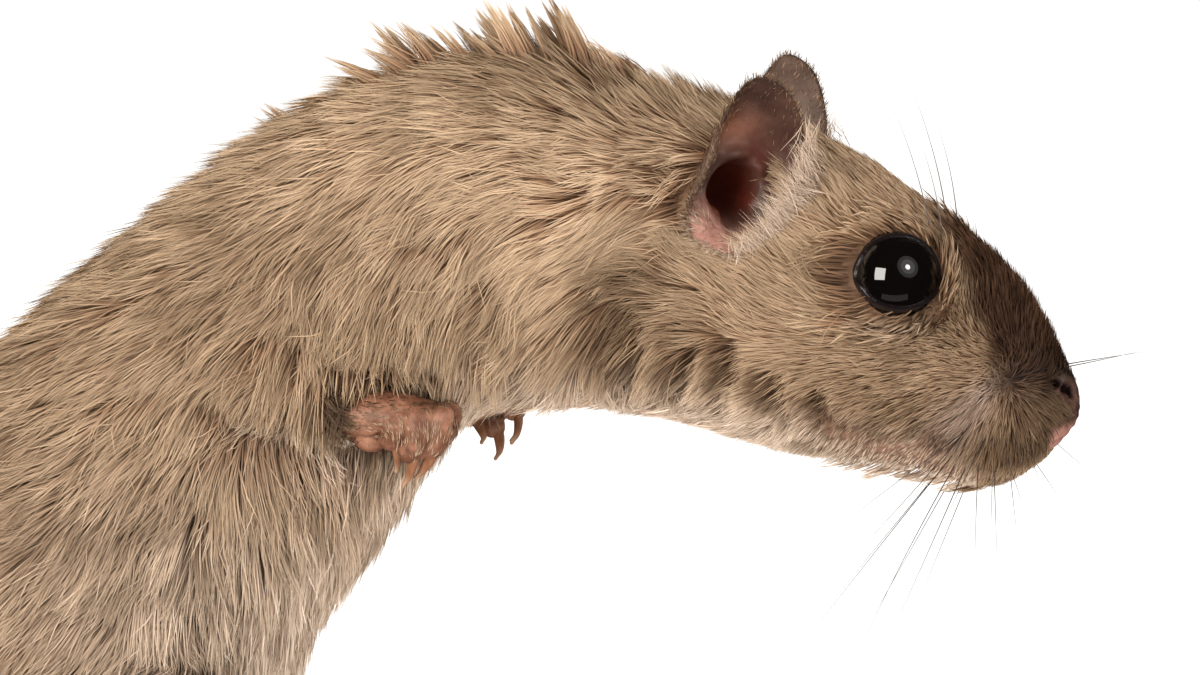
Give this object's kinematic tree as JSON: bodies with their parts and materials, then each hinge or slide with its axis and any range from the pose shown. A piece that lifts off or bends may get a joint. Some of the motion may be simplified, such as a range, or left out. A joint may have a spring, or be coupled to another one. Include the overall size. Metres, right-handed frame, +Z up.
{
  "type": "gerbil figure",
  "caption": "Life-size model of a gerbil, reared on its hind feet and stretching its head forward, with forepaws curled under the chest and a tufted tail laid behind.",
  "frame": {"origin": "centre of the overall box at the floor, under the middle of the animal", "axes": "+X forward along the body to the nose, +Y to the animal's left, +Z up"},
  "size_m": [0.1945, 0.0392, 0.0757],
  "materials": {
    "coat": "matt short fur",
    "ear_skin": "matt thin skin",
    "paw_skin": "satin skin with fine hair",
    "claw_horn": "translucent horn",
    "eye": "wet gloss"
  },
  "bodies": {
    "root": {"torso": "coat", "neck": "coat", "head": "coat", "tail_base": "coat", "tail_middle": "coat", "tail_tip": "coat", "ear_right": "ear_skin", "eye_right": "eye", "foreleg_right": "coat", "forepaw_right": "paw_skin", "hind_leg_right": "coat", "hind_foot_right": "paw_skin", "claw_fore_right_1": "claw_horn", "claw_fore_right_2": "claw_horn", "claw_fore_right_3": "claw_horn", "claw_fore_right_4": "claw_horn", "claw_hind_right_1": "claw_horn", "claw_hind_right_2": "claw_horn", "claw_hind_right_3": "claw_horn", "claw_hind_right_4": "claw_horn", "claw_hind_right_5": "claw_horn", "ear_left": "ear_skin", "eye_left": "eye", "foreleg_left": "coat", "forepaw_left": "paw_skin", "hind_leg_left": "coat", "hind_foot_left": "paw_skin", "claw_fore_left_1": "claw_horn", "claw_fore_left_2": "claw_horn", "claw_fore_left_3": "claw_horn", "claw_fore_left_4": "claw_horn", "claw_hind_left_1": "claw_horn", "claw_hind_left_2": "claw_horn", "claw_hind_left_3": "claw_horn", "claw_hind_left_4": "claw_horn", "claw_hind_left_5": "claw_horn"}
  },
  "joints": []
}
